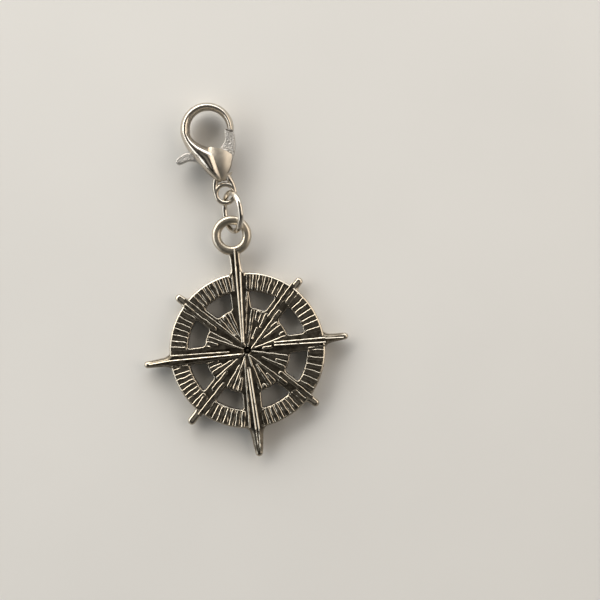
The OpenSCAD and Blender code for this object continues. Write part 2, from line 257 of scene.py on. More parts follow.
def tube(rings, closed=False, tarnish_and_shade=0.0):
    """Skin over a row of rings: point (i, j) joins (i, j + 1) and (i + 1, j), with j running round the ring.
    The last ring joins the first when closed, and otherwise a face closes each end."""
    number = np.arange(rings.shape[0] * rings.shape[1]).reshape(rings.shape[:2])
    here = number if closed else number[:-1]
    there = np.roll(number, -1, axis=0) if closed else number[1:]
    faces = [quads_between(here, there)]
    if not closed:
        faces += [number[:1, ::-1], number[-1:]]
    return outward(rings.reshape(-1, 3), faces, np.ravel(tarnish_and_shade))


def through(rows, share):
    """Smooth curve through rows of numbers: the Catmull-Rom cubic of each four rows, at shares 0 to 1 of the
    way from first to last."""
    rows = np.asarray(rows, float)
    padded = np.vstack([2 * rows[:1] - rows[1:2], rows, 2 * rows[-1:] - rows[-2:-1]])
    at = np.clip(np.asarray(share) * (len(rows) - 1), 0, len(rows) - 1 - 1e-9)
    k = at.astype(int)
    t = (at - k)[:, None]
    a, b, c, d = padded[k], padded[k + 1], padded[k + 2], padded[k + 3]
    return b + t / 2 * (c - a + t * (2 * a - 5 * b + 4 * c - d + t * (3 * (b - c) + d - a)))


def round_through(rows, count):
    """Closed smooth curve through rows of points: the same cubic with the first rows repeated at the end."""
    rows = np.asarray(rows, float)
    looped = np.vstack([rows[-2:], rows, rows[:3]])
    n = len(rows)
    return through(looped, (2 + np.arange(count) / count * n) / (n + 4))


def moved_in(loop, distance):
    """Closed counter-clockwise outline with each point moved inwards at right angles to the line between its
    neighbours."""
    way = np.roll(loop, -1, 0) - np.roll(loop, 1, 0)
    way /= np.linalg.norm(way, axis=1, keepdims=True)
    return loop + distance * np.stack([-way[:, 1], way[:, 0]], axis=1)


def counter_clockwise(loop):
    """The outline in counter-clockwise order, by the sign of the sum of its corner products."""
    x, y = loop.T
    return loop if np.sum(x * np.roll(y, -1) - y * np.roll(x, -1)) > 0 else loop[::-1]


def walled(outline, holes, rows, hole_rows, pit=None):
    """Solid between a plan outline and its holes. Each loop is repeated at the rows (distance inwards,
    height, darkening as tarnish and painted shade), and triangles fill the flat ends. A pit is an outline
    with its own rows, which starts with a flat bottom and opens only upwards."""
    stacks = [(outline, rows, 1)] + [(hole, hole_rows, -1) for hole in holes]
    if pit:
        stacks.append((*pit, -1))
    points, shades, faces, first, last, start = [], [], [], [], [], 0
    for loop, profile, side in stacks:
        loop = counter_clockwise(loop)
        layers = [np.column_stack([moved_in(loop, side * q), np.full(len(loop), z)]) for q, z, _ in profile]
        number = start + np.arange(len(layers) * len(loop)).reshape(len(layers), len(loop))
        quads = quads_between(number[:-1], number[1:])
        faces.append(quads if side > 0 else quads[:, ::-1])
        points += layers
        shades.append(np.repeat([row[2] for row in profile], len(loop)))
        first.append(number[0])
        last.append(number[-1])
        start += number.size
    points = np.vstack(points)
    if pit:
        faces.append(first.pop()[None])
    for loops, up in ((first, False), (last, True)):
        flat = np.concatenate(loops)
        triangles = flat[np.array(tessellate_polygon([[Vector(p) for p in points[loop]] for loop in loops]))]
        a, b, c = (points[triangles[:, k]] for k in range(3))
        rising = np.cross(b - a, c - a)[:, 2] > 0
        triangles[rising != up] = triangles[rising != up][:, ::-1]
        faces.append(triangles)
    return outward(points, faces, np.concatenate(shades))


def sides_turn(count):
    """Angles in radians that go once round a section in count steps."""
    return np.arange(count) / count * 2 * math.pi


def superellipse(count, square):
    """Once round a unit section in count steps: the angle's cosine and sine to the power square, with their
    signs kept. 1 gives a circle, and less a squarer section."""
    turn = sides_turn(count)
    return [np.sign(wave) * np.abs(wave) ** square for wave in (np.cos(turn), np.sin(turn))]


def dial_circle(count, radius):
    """Plan outline of a circle round the wheel's centre, counter-clockwise."""
    return on_dial(-np.arange(count) * (360 / count), radius)[:, :2]


def round_cap(gap, radius):
    """Share of the half width at a gap from a half-round end: sqrt(1 - (1 - gap / radius)^2), up to 1. One
    less this share is a flare along a quarter circle."""
    return np.where(gap < radius, np.sqrt(np.clip(1 - (1 - gap / radius) ** 2, 0, 1)), 1)


def within_cap(inside, gap, radius, across):
    """Distance inside the outline near a half-round end: radius less the distance to the end circle's
    middle, where that is the smaller."""
    gap = gap[:, None]
    return np.where(gap < radius, np.minimum(inside, radius - np.hypot(radius - gap, across)), inside)


def along_dial(clock, along, across, height):
    """Rings of a bar on a dial line: points at the distances along and across it, at the heights."""
    rings = on_dial(clock, 1.0) * along[:, None, None] + on_dial(clock + 90, 1.0) * across[..., None]
    rings[..., 2] = height
    return rings


def raised_bar(clock, start, end, width_in, width_out, top, off=0.0, bottom=1.25, shoulder=0.065, crown=0.6,
               round_end=False, seed=0, wobble=0.07, flat=0.85, fall=0.0):
    """Flat-topped bar along a dial line, with a half-round inner end. A point's height is top less slope
    (shoulder - d), where d is its distance inside the outline, up to the shoulder: a slanted edge round a
    flat top. The shoulder is at most crown times the half width, and the top drops evenly by fall. Smooth
    random shares of width and height make it uneven. The darkening is full below the slanted edge, as
    tarnish and painted shade, none on the bare slanted edge, and flat on top, where it is painted shade
    standing for the dark reflection from overhead."""
    span = end - start
    half_in = width_in / 2
    half_out = width_out / 2
    turn = 1 - np.cos(np.radians([8, 30, 50, 70]))
    tail = span - half_out * turn[::-1] if round_end else np.array([span])
    steps = max(3, int(span / BAR_STEP))
    body = np.linspace(half_in, span - half_out * round_end, steps + 1)
    along = np.concatenate([half_in * turn, body if round_end else body[:-1], tail])
    uneven = np.random.default_rng(seed).normal(0, wobble, (3, len(along) + 2))
    uneven = (uneven[:, :-2] + 2 * uneven[:, 1:-1] + uneven[:, 2:]) / 2
    half = (half_in + (half_out - half_in) * along / span) * (1 + uneven[0])
    left = span - along
    cap = round_cap(along, half_in) * (round_cap(left, half_out) if round_end else 1)
    soft = np.minimum(shoulder, crown * half)[:, None]
    edge = 1 - np.array([0, 0.35, 0.75, 1, 1.35]) * soft / half[:, None]
    share = np.hstack([-edge, 0 * soft, edge[:, ::-1]])
    across = share * (half * cap)[:, None]
    inside = within_cap(half[:, None] - np.abs(across), along, half_in, across)
    if round_end:
        inside = within_cap(inside, left, half_out, across)
    rise = np.clip(inside / soft, 0, 1)
    # Darkening share: full at the foot, none on the slanted edge, flat on top; the top's is painted shade
    # for the dark reflection from overhead
    shade = np.interp(inside / soft, [0, 0.3, 1, 1.35], [1, 0.1, 0, flat])
    height = top - BAR_SLOPE * soft * (1 - rise) + (top - BAR_FOOT) * uneven[1][:, None]
    height = height - fall * (along / span)[:, None]
    across = off + across + 0.25 * uneven[2][:, None] * width_out
    across = np.hstack([across[:, :1], across, across[:, -1:]])
    floor = np.full((len(along), 1), bottom)
    height = np.hstack([floor, height, floor])
    shade = np.hstack([floor / bottom, shade, floor / bottom])
    return tube(along_dial(clock, start + along, across, height), tarnish_and_shade=shade)


def ridged_rib(clock, off, start, end, width_in, width_out, fall, sides, top, seed):
    """Rib of a main spoke: a flat bar with its top painted dark as shade, and a narrow bright ridge along
    each given side. The ridges turn away from the bar's line by the angle at which its width grows."""
    ridge = 0.17
    lean = (width_out - width_in) / 2 / (end - start)
    shells = [raised_bar(
        clock, start, end, width_in, width_out, top - 0.1, off, wobble=0.02, flat=1, fall=fall, seed=seed)]
    for side in sides:
        edge = off + side * (width_in / 2 - ridge / 2 - start * lean)
        shells.append(raised_bar(
            clock + side * math.degrees(lean), start, end, ridge, ridge, top, off=edge, shoulder=ridge / 2,
            crown=0.9, seed=seed + side, wobble=0.04, flat=0.3, fall=fall))
    return shells


def between_spokes(before, after, gap_before, gap_after, radius):
    """The clock angles where a circle meets lines parallel to the spokes at the given distances: the spoke's
    angle, plus or minus the angle whose sine is distance / radius."""
    gap_angles = np.degrees(np.arcsin([gap_before / radius, gap_after / radius]))
    return before + gap_angles[0], after - gap_angles[1]


def window_outline(before, after, gap_before, gap_after, hub_r, rim_in_r, corner):
    """Outline of a window: flanks parallel to the spokes at the given distances, ends on the hub's and the
    rim's circles, and a quarter circle of radius corner between each end and each flank."""
    turn = np.radians(np.linspace(0, 90, 7))
    near = corner * (1 - np.cos(turn))
    wide = corner * (1 - np.sin(turn))
    r = np.concatenate([hub_r + near, rim_in_r - near[::-1]])
    extra = np.concatenate([wide, wide[::-1]])
    first, last = between_spokes(before, after, gap_before + extra, gap_after + extra, r)
    ends = []
    for radius in (rim_in_r, hub_r):
        a, b = between_spokes(before, after, gap_before + corner, gap_after + corner, radius)
        ends.append(on_dial(np.linspace(a, b, 14)[1:-1], radius))
    return np.vstack([on_dial(first, r), ends[0], on_dial(last, r)[::-1], ends[1][::-1]])[:, :2]


def handle(clock, reach, start, root_d, tip_d, z, flare, broad=1.0, dark=0.0, square=1.0):
    """Handle along a dial line at the height z: superellipse sections whose radius falls evenly from the
    root to the tip and then follows a ball. The width is broad times the height, plus the flare (width,
    length) at the rim. The top is painted dark by the share dark, as painted shade standing for the dark
    reflection from overhead, and this fades at the sides and the tip."""
    tip_r = tip_d / 2
    ball = np.sin(np.radians([15, 30, 45, 60, 72, 82, 88.5]))
    line = np.linspace(start, reach - tip_r, 26)
    along = np.concatenate([line, reach - tip_r + tip_r * ball])
    share = np.clip((along - start) / (reach - tip_r - start), 0, 1)
    radius = (root_d + (tip_d - root_d) * share) / 2
    radius = np.concatenate([radius[:len(line)], tip_r * np.sqrt(1 - ball ** 2)])
    u, v = superellipse(48, square)
    broad = 1 + (broad - 1) * np.clip((reach - along) / 1.5, 0, 1)
    wide = radius * broad + flare[0] * (1 - round_cap(along - LEAVES_RIM, flare[1]))
    x = u * wide[:, None]
    y = v * radius[:, None]
    # Painted shade on the top, fading towards the tip and the sides
    shade = np.where(v > 0, dark * np.clip((reach - 0.3 - along) / 0.5, 0, 1)[:, None], 0)
    shade = shade * np.clip((0.96 - np.abs(u)) / 0.15, 0, 1)
    return tube(along_dial(clock, along, x, z + y), tarnish_and_shade=shade)


def stem_bar(start, end, width, narrowing, bottom, top):
    """Stem along +Y: a bar that flares on quarter circles into the rim and into the loop. Its top dips
    between two bare slanted edges, and the dip is painted dark, as tarnish and painted shade."""
    along = np.linspace(start, end, 34)
    share = (along - start) / (end - start)
    rim_flare = 0.35 * (1 - round_cap(along - LEAVES_RIM, 0.8))
    loop_flare = 0.8 * (1 - round_cap(end - along, 1.1))
    half = width / 2 * (1 - narrowing * share) + rim_flare + loop_flare
    inset = np.array([0.05, 0, 0, 0.03, 0.17, 0.21, 0.28, 0.34])
    level = np.array([bottom, bottom + 0.1, top - 0.25, top - 0.1, top, top, top - 0.1, top - 0.12])
    # The dip on top is painted dark: tarnish and painted shade
    dark = np.array([0, 0, 0, 0, 0, 0, 0.9, 1])
    x = np.hstack([half[:, None] - inset, inset[::-1] - half[:, None]])
    z = np.broadcast_to(np.append(level, level[::-1]), x.shape)
    rings = np.stack([x, np.broadcast_to(along[:, None], x.shape), z], axis=-1)
    return tube(rings, tarnish_and_shade=np.broadcast_to(np.append(dark, dark[::-1]), x.shape))


def ring_of_wire(diameter, wire, count, square=1.0, seam=None):
    """Torus of an outside diameter: a round or squarish wire section carried round a circle, from angle 0 or
    from one side of the seam (angle in degrees, width) to the other."""
    radius = (diameter - wire) / 2
    if seam:
        half = math.degrees(seam[1] / 2 / radius)
        angle = np.radians(np.linspace(seam[0] + half, seam[0] + 360 - half, count))
    else:
        angle = sides_turn(count)
    u, v = superellipse(36, square)
    r = radius + wire / 2 * u
    z = np.broadcast_to(wire / 2 * v, (count, len(v)))
    rings = np.stack([np.cos(angle)[:, None] * r, np.sin(angle)[:, None] * r, z], axis=-1)
    return tube(rings, closed=seam is None)


def turned(shell, degrees_y=0.0, degrees_z=0.0, at=(0, 0, 0)):
    """The shell turned about Y, then Z, and then moved to a place."""
    points = shell[0]
    for (a, b), degrees in (((2, 0), degrees_y), ((0, 1), degrees_z)):
        c, s = math.cos(math.radians(degrees)), math.sin(math.radians(degrees))
        spun = points.copy()
        spun[:, a] = c * points[:, a] - s * points[:, b]
        spun[:, b] = s * points[:, a] + c * points[:, b]
        points = spun
    return points + np.array(at), shell[1], shell[2]


def in_clasp(shell):
    """A shell from the clasp's plane, at its place on the charm."""
    return turned(shell, degrees_z=CLASP_TURN, at=CLASP_AT)


def oval_sweep(rows, count):
    """Sweep of an oval in the clasp's plane along the smooth curve through rows (x, y, width, thickness)."""
    rows = through(rows, np.linspace(0, 1, count))
    way = np.gradient(rows[:, :2], axis=0)
    way /= np.linalg.norm(way, axis=1, keepdims=True)
    side = np.stack([way[:, 1], -way[:, 0]], axis=1)
    turn = sides_turn(56)
    plan = rows[:, None, :2] + side[:, None] * (rows[:, 2, None] / 2 * np.cos(turn))[..., None]
    return tube(np.concatenate([plan, (rows[:, 3, None] / 2 * np.sin(turn))[..., None]], axis=-1))


def petal(rows, count, crest=1.0):
    """Sweep in the clasp's plane through rows (outer x, outer y, inner x, inner y, thickness, lean). Each
    section is an oval from the outer to the inner curve. Its height is the sine to the power crest, and its
    front and back are moved outwards by the lean."""
    rows = through(rows, np.linspace(0, 1, count))
    outer, inner = rows[:, None, :2], rows[:, None, 2:4]
    along = (1 - np.cos(sides_turn(56))[None, :, None]) / 2
    v = superellipse(56, crest)[1]
    out = (outer - inner) / np.linalg.norm(outer - inner, axis=2, keepdims=True)
    plan = outer + (inner - outer) * along + out * (rows[:, 5, None] * np.abs(v))[..., None]
    return tube(np.concatenate([plan, (rows[:, 4, None] / 2 * v)[..., None]], axis=-1))


def hook_and_limb(hook_r):
    """Hook and limb in one sweep: stations on the hook's arc, wider and thicker away from its tip, then the
    limb's rows."""
    t = np.linspace(0, 1, 15)
    a = np.radians(-28 + 200 * t)
    way = np.column_stack([np.cos(a), np.sin(a)])
    width = 0.74 + 0.4 * t
    outer = HOOK_AT + hook_r * way
    inner = HOOK_AT + (hook_r - width)[:, None] * way
    hook = np.column_stack([outer, inner, 1.5 + 0.5 * t, 0 * t])
    return petal(np.vstack([hook, LIMB]), 170, crest=1.2)


def prism(outline, half):
    """Straight-sided block over a plan outline, from -half to half in height."""
    flat = np.array(outline, float)
    return tube(np.stack([np.column_stack([flat, np.full(len(flat), z)]) for z in (-half, half)]))


# The parts of the wheel and the lever

def wheel_plate(rim_r, rim_in_r, hub_r, plate):
    """The pierced plate, in rows of (distance inwards, height, darkening): a raised lip round the rim,
    windows with walls painted dark under a bare edge, and a pit painted dark in the middle, the darkening
    being tarnish in the recesses and painted shade."""
    windows = [
        window_outline(before, after, gap_before, gap_after, hub_r, rim_in_r, WINDOW_CORNER)
        for before, after, (gap_before, gap_after, _) in zip(SPOKES, NEXT_SPOKES, SECTORS)]
    # The plate's top between the bars, the window walls and the pit are painted dark: tarnish and painted
    # shade
    lip = [
        (0.18, 0, 0), (0.1, 0.02, 0), (0.04, 0.07, 0), (0, 0.18, 0), (0, plate - 0.02, 0),
        (0.02, plate + 0.02, 0), (0.17, plate + 0.115, 0), (0.2, plate + 0.12, 0),
        (0.24, plate + 0.06, 0.5), (0.27, plate, 0.9)]
    edge = [
        (0.05, 0, 0.8), (0.015, 0.02, 0.8), (0, 0.06, 0.8), (0, plate - 0.2, 0.8), (0, plate - 0.16, 0),
        (0.012, plate - 0.1, 0), (0.045, plate - 0.047, 0), (0.09, plate - 0.015, 0), (0.16, plate, 0.9)]
    pit = [
        (-0.3, plate - 0.5, 1), (-0.28, plate - 0.46, 1), (-0.1, plate - 0.15, 1), (-0.04, plate - 0.04, 1),
        (0.02, plate, 1)]
    return walled(dial_circle(480, rim_r), windows, lip, edge, (dial_circle(48, PIT_RADIUS), pit))


def rim_bars(rim_r, rim_in_r, bar_width, top):
    """The rim's bars, evenly spread over each sector, with slightly random angles and widths."""
    sway = np.random.default_rng(7).normal(0, 1, (60, 2))
    shells = []
    for k, (before, after, (_, _, bars)) in enumerate(zip(SPOKES, NEXT_SPOKES, SECTORS)):
        gaps = (DIAGONAL_GAP, STRAIGHT_GAP) if k % 2 else (STRAIGHT_GAP, DIAGONAL_GAP)
        first, last = between_spokes(before, after, *gaps, (rim_r + rim_in_r) / 2)
        for j in range(bars):
            seed = FIRST_SEEDS["rim"] + len(shells)
            clock = first + (j + 0.5) * (last - first) / bars + 0.22 * sway[seed, 0]
            width = bar_width * (1 + 0.06 * sway[seed, 1])
            shells.append(raised_bar(
                clock, rim_in_r + 0.05, rim_r - 0.19, 0.9 * width, width, top, seed=seed))
    return shells


def hub_rays(hub_r, top):
    """The hub's rays, which widen outwards and end short of its edge by two gaps in turn, and two bars."""
    shells = []
    for seed, (clock, start) in enumerate(RAYS, FIRST_SEEDS["ray"]):
        end = hub_r - (0.12 if seed % 2 else 0.07)
        shells.append(raised_bar(
            clock, start, end, 0.12 + 0.05 * start, 0.46, top, bottom=0.15, round_end=True, seed=seed))
    for seed, row in enumerate(HUB_BARS, FIRST_SEEDS["hub"]):
        shells.append(raised_bar(*row, top, round_end=True, seed=seed))
    return shells


def spoke_relief(top):
    """The main spokes' ribs with their ends and rails, and the diagonal spokes' flat bars."""
    ribs = [(*row, height) for rows, height in zip((MAIN_RIBS, RIB_ENDS), RIB_TOPS) for row in rows]
    shells = []
    for k, row in enumerate(ribs):
        shells += ridged_rib(*row, FIRST_SEEDS["rib"] + 3 * k)
    for seed, (clock, off, start, end) in enumerate(RAILS, FIRST_SEEDS["rail"]):
        shells.append(raised_bar(clock, start, end, 0.17, 0.2, top + 0.08, off=off, seed=seed))
    for seed, (clock, off, start, end) in enumerate(DIAGONAL_BARS, FIRST_SEEDS["diagonal"]):
        shells.append(raised_bar(
            clock, start, end, 0.2 + 0.06 * start, 0.5, top + 0.06, off=off, round_end=end < 7, seed=seed))
    return shells


def handles_and_stem():
    """The seven handles, and the stem in the place of the eighth."""
    shells = [handle(clock, reach, broad=broad, **LONG_SHAPE) for clock, reach, broad in LONG_HANDLES]
    shells += [handle(clock, reach, **SHORT_SHAPE) for clock, reach in SHORT_HANDLES]
    shells.append(stem_bar(start=8.6, end=11.7, width=1.24, narrowing=0.12, bottom=0.5, top=1.86))
    return shells


def lever_shell(thickness):
    """The lever: its smooth outline walled up, with edges rounded on quarter circles, the pin's hole, and
    its end towards the hook painted dark as the shadow in the gap to the hook."""
    half = thickness / 2
    hole = np.array(PIN_AT) + PIN_HOLE_RADIUS * np.column_stack(superellipse(28, 1.0))
    turn = np.radians([0, 10, 25, 45, 65, 90])
    inset = LEVER_EDGE * (1 - np.sin(turn))
    height = half - LEVER_EDGE * (1 - np.cos(turn))
    back = [(q, -z, 0) for q, z in zip(inset, height)]
    front = [(q, -z, 0) for q, z, _ in back[::-1]]
    points, faces, _ = walled(round_through(LEVER, 220), [hole], back + front, [(0, -half, 0), (0, half, 0)])
    # The end towards the hook is painted dark: painted shadow in the gap
    return points, faces, np.clip((points[:, :2] @ np.array(TIP_WAY) - TIP_REACH) / 0.06, 0, 1)


# Meshes

def placed(name, data):
    """New object with its data, in the scene."""
    obj = bpy.data.objects.new(name, data)
    bpy.context.collection.objects.link(obj)
    return obj


def mark_points(mesh, name, values):
    """Point attribute with one value for each vertex."""
    mark = mesh.attributes.new(name, "FLOAT", "POINT")
    mark.data.foreach_set("value", values.astype(np.float32))


def mesh_object(name, shells):
    """One mesh object from closed shells, in metres, with their tarnish and painted shade as a point
    attribute.
    """
    starts = np.cumsum([0] + [len(shell[0]) for shell in shells])
    points = np.vstack([shell[0] for shell in shells]) * MM
    faces = []
    for shell, start in zip(shells, starts):
        for group in shell[1]:
            faces += (group + start).tolist()
    mesh = bpy.data.meshes.new(name)
    mesh.from_pydata(points.tolist(), [], faces)
    mark_points(mesh, "tarnish_and_shade", np.concatenate([shell[2] for shell in shells]))
    return placed(name, mesh)


def carved(name, solids, cuts):
    """One solid: the union of the closed shells in solids, less those in cuts, without the slivers that a
    union leaves."""
    base = mesh_object(name + "_raw", [solids[0]])
    helpers = []
    for operation, shells in (("UNION", solids[1:]), ("DIFFERENCE", cuts)):
        for shell in shells:
            other = mesh_object(name + "_part", [shell])
            step = base.modifiers.new(operation.lower(), "BOOLEAN")
            step.operation = operation
            step.solver = "MANIFOLD"
            step.object = other
            helpers.append(other)
    evaluated = base.evaluated_get(bpy.context.evaluated_depsgraph_get())
    mesh = bpy.data.meshes.new_from_object(evaluated)
    for helper in helpers + [base]:
        bpy.data.objects.remove(helper)
    clean = bmesh.new()
    clean.from_mesh(mesh)
    bmesh.ops.triangulate(clean, faces=clean.faces)
    bmesh.ops.dissolve_degenerate(clean, edges=clean.edges, dist=SLIVER * MM)
    bmesh.ops.triangulate(clean, faces=clean.faces)
    twins = {}
    for face in clean.faces:
        twins.setdefault(frozenset(face.verts), []).append(face)
    flaps = [face for pair in twins.values() if len(pair) > 1 for face in pair]
    bmesh.ops.delete(clean, geom=flaps, context="FACES")
    clean.to_mesh(mesh)
    clean.free()
    mesh.name = name
    return placed(name, mesh)


def plan_of(mesh):
    """The plan coordinates of the mesh's vertices, in millimetres."""
    points = np.empty(len(mesh.vertices) * 3)
    mesh.vertices.foreach_get("co", points)
    return points.reshape(-1, 3)[:, :2] / MM


def lobe_share(plan):
    """1 on the clasp's lobe, right of the crease, falling to 0 on the limb's inner part and the hook."""
    plan = plan - np.array(CLASP_AT[:2])
    turn = math.radians(CLASP_TURN)
    x = plan @ np.array([math.cos(turn), math.sin(turn)])
    y = plan @ np.array([-math.sin(turn), math.cos(turn)])
    crease = np.interp(y, CREASE[:, 1], CREASE[:, 0])
    share = np.clip((x - crease) / 0.8 + 0.9, 0, 1)
    return share * np.clip((5.8 - y) / 0.2, 0, 1) * np.clip((y - 1.5) / 0.2, 0, 1)


def finish_piece(obj, metal, body, nodes):
    """Smooth shading with creases, the metal, and the piece's place in the frame."""
    if not len(obj.data.polygons):
        raise RuntimeError(obj.name + " has no faces")
    obj.data.shade_smooth()
    obj.data.set_sharp_from_angle(angle=math.radians(SHARP_ANGLE))
    obj.data.materials.clear()
    obj.data.materials.append(metal)
    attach(obj, body)
    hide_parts(*nodes)


# Materials

def shader_of(material):
    """The material's node tree and its shader."""
    material.use_nodes = True
    tree = material.node_tree
    return tree, tree.nodes["Principled BSDF"]


def feed(tree, value, socket):
    """Links an output to the socket, or gives the socket a plain value."""
    if hasattr(value, "is_output"):
        tree.links.new(value, socket)
    else:
        socket.default_value = value


def node(tree, kind, inputs, **settings):
    """New node of a kind, with its settings, and its inputs fed by name or number."""
    made = tree.nodes.new("ShaderNode" + kind)
    for name, value in settings.items():
        setattr(made, name, value)
    for key, value in inputs.items():
        feed(tree, value, made.inputs[key])
    return made


def noise(tree, where, scale, detail, rough=0.5):
    """Noise over the piece's own coordinates, scale in features a metre."""
    inputs = {"Vector": where, "Scale": scale, "Detail": detail, "Roughness": rough}
    return node(tree, "TexNoise", inputs).outputs["Fac"]


def spread(tree, value, low, high, from_low=0.35, from_high=0.65):
    """The value stretched from one range to another, held at its ends."""
    inputs = {"Value": value, "From Min": from_low, "From Max": from_high, "To Min": low, "To Max": high}
    return node(tree, "MapRange", inputs).outputs["Result"]


def point_value(tree, name):
    """A point attribute of the piece's mesh."""
    return node(tree, "Attribute", {}, attribute_name=name).outputs["Fac"]


def computed(tree, operation, *values):
    """The result of a sum on values, each a number or a linked output."""
    return node(tree, "Math", dict(enumerate(values)), operation=operation).outputs["Value"]


def mixed(tree, share, first, second):
    """Colour between first and second by the linked share; each is a plain colour or a linked output. The
    node has them at inputs 6 and 7, and the result at output 2."""
    first, second = (shade if hasattr(shade, "is_output") else (*shade, 1) for shade in (first, second))
    return node(tree, "Mix", {"Factor": share, 6: first, 7: second}, data_type="RGBA").outputs[2]


def clouded(tree, where, base, tint, scale):
    """Colour that drifts from the base towards base times tint in soft clouds, scale in features a metre."""
    clouds = spread(tree, noise(tree, where, scale, 3), 0, 1)
    return mixed(tree, clouds, base, np.array(base) * tint)


def bumped(tree, shader, heights):
    """Chain of bumps into the shader's normal. heights: (linked height, strength, depth in metres)."""
    normal = {}
    for height, strength, depth in heights:
        inputs = {"Height": height, "Strength": strength, "Distance": depth, **normal}
        normal = {"Normal": node(tree, "Bump", inputs).outputs["Normal"]}
    feed(tree, normal["Normal"], shader.inputs["Normal"])


def plated_metal(name, base, tint, gloss, dents, grain, tarnish_and_shade_colour=None, satin=None):
    """Plated metal: colour clouded from base towards base times tint, roughness between the two gloss values
    in finer clouds, and bumps for dents and grain, each a size and a depth in metres. The darkening
    attribute, broken up by uneven blotches, brings in the dark colour and its roughness: tarnish and
    painted shade. The satin attribute adds roughness."""
    material = bpy.data.materials.new(name)
    tree, shader = shader_of(material)
    where = node(tree, "TexCoord", {}).outputs["Object"]
    shade = clouded(tree, where, base, tint, CLOUD_SCALE)
    rough = spread(tree, noise(tree, where, GLOSS_SCALE, 4, 0.6), *gloss)
    # Tarnish and painted shade: the dark colour mixed in by the darkening attribute
    if tarnish_and_shade_colour:
        uneven_blotches = spread(tree, noise(tree, where, BLOTCH_SCALE, 3), 0.75, 1.0)
        tarnish_and_shade_share = computed(tree, "MULTIPLY", point_value(tree, "tarnish_and_shade"), uneven_blotches)
        shade = mixed(tree, tarnish_and_shade_share, shade, tarnish_and_shade_colour)
        rough = computed(tree, "MULTIPLY_ADD", tarnish_and_shade_share, TARNISH_AND_SHADE_ROUGHNESS, rough)
    if satin:
        rough = computed(tree, "MULTIPLY_ADD", point_value(tree, "satin"), satin, rough)
    feed(tree, shade, shader.inputs["Base Color"])
    feed(tree, rough, shader.inputs["Roughness"])
    shader.inputs["Metallic"].default_value = 1.0
    bumped(tree, shader, [
        (noise(tree, where, 1 / size, detail), 1, depth)
        for (size, depth), detail in ((dents, 2), (grain, 3))])
    return material


# Stage

def pale_floor(base):
    """Flat square floor of even quads at height 0, in a faintly clouded pale colour."""
    side = np.linspace(-FLOOR_HALF, FLOOR_HALF, FLOOR_POINTS)
    x, y = (grid.ravel() for grid in np.meshgrid(side, side))
    number = np.arange(x.size).reshape(FLOOR_POINTS, FLOOR_POINTS)
    faces = np.stack([number[:-1, :-1], number[:-1, 1:], number[1:, 1:], number[1:, :-1]], axis=-1)
    mesh = bpy.data.meshes.new("floor")
    mesh.from_pydata(np.column_stack([x, y, 0 * x]).tolist(), [], faces.reshape(-1, 4).tolist())
    paper = bpy.data.materials.new("pale_floor")
    tree, shader = shader_of(paper)
    where = node(tree, "TexCoord", {}).outputs["Object"]
    feed(tree, clouded(tree, where, base, 0.97, 30), shader.inputs["Base Color"])
    shader.inputs["Roughness"].default_value = 0.6
    bumped(tree, shader, [(noise(tree, where, 5000, 2), 0.2, 2e-5)])
    mesh.materials.append(paper)
    return placed("floor", mesh)


def soft_lamp(name, clock, elevation, width, height, power, tint):
    """Rectangular lamp at the lamps' distance from the wheel's centre, which it faces."""
    data = bpy.data.lights.new(name, "AREA")
    data.shape = "RECTANGLE"
    data.size = width
    data.size_y = height
    data.energy = power
    data.color = tint
    lamp = placed(name, data)
    way = Vector(direction(clock, elevation))
    lamp.location = way * LAMP_DISTANCE
    lamp.rotation_euler = way.to_track_quat("Z", "Y").to_euler()


def camera_above(distance, tilt, lens):
    """Camera that looks at the picture's middle from above, leaned down the picture by the tilt."""
    camera = placed("camera", bpy.data.cameras.new("camera"))
    camera.data.lens = lens
    camera.data.clip_start = 0.01
    up = Vector(on_dial(PICTURE_UP, 1.0))
    back = Vector((0, 0, math.cos(tilt))) - up * math.sin(tilt)
    right = up.cross(Vector((0, 0, 1)))
    camera.location = Vector(PICTURE_MIDDLE) * MM + back * distance
    camera.rotation_euler = Matrix((right, back.cross(right), back)).transposed().to_euler()
    return camera


def window_light(dim, bright):
    """Room with one broad soft window: the brightness rises from dim to bright with the cosine of the angle
    to the window's middle, and the ceiling scales it."""
    world = bpy.data.worlds.new("room_with_window")
    world.use_nodes = True
    tree = world.node_tree
    way = node(tree, "TexCoord", {}).outputs["Generated"]
    cosines = [
        node(tree, "VectorMath", {0: way, 1: middle}, operation="DOT_PRODUCT").outputs["Value"]
        for middle in (direction(*WINDOW_WAY), (0, 0, 1))]
    window = spread(tree, cosines[0], dim, bright, 0.5, 0.95)
    ceiling = node(tree, "ValToRGB", {"Fac": cosines[1]})
    stops = ceiling.color_ramp.elements
    for position, _ in CEILING[1:-1]:
        stops.new(position)
    for stop, (_, level) in zip(stops, CEILING):
        stop.color = (level, level, level, 1)
    sky = tree.nodes["Background"].inputs
    feed(tree, computed(tree, "MULTIPLY", window, ceiling.outputs["Color"]), sky["Strength"])
    sky["Color"].default_value = (1.0, 0.97, 0.92, 1)
    return world


# Settings

def amount(name, description, default, kind=FloatProperty, **settings):
    """A number property, not under 0."""
    return kind(name=name, description=description, default=default, min=0.0, **settings)


def length(name, description, millimetres):
    """A length property with its default given in millimetres."""
    return amount(name, description, millimetres * MM, precision=5, subtype="DISTANCE", unit="LENGTH")


def angle(name, description, degrees):
    """An angle property with its default given in degrees."""
    return amount(name, description, math.radians(degrees), subtype="ANGLE", unit="ROTATION")


def colour(name, description, default):
    """A colour property."""
    return amount(name, description, default, FloatVectorProperty, size=3, max=1.0, subtype="COLOR")


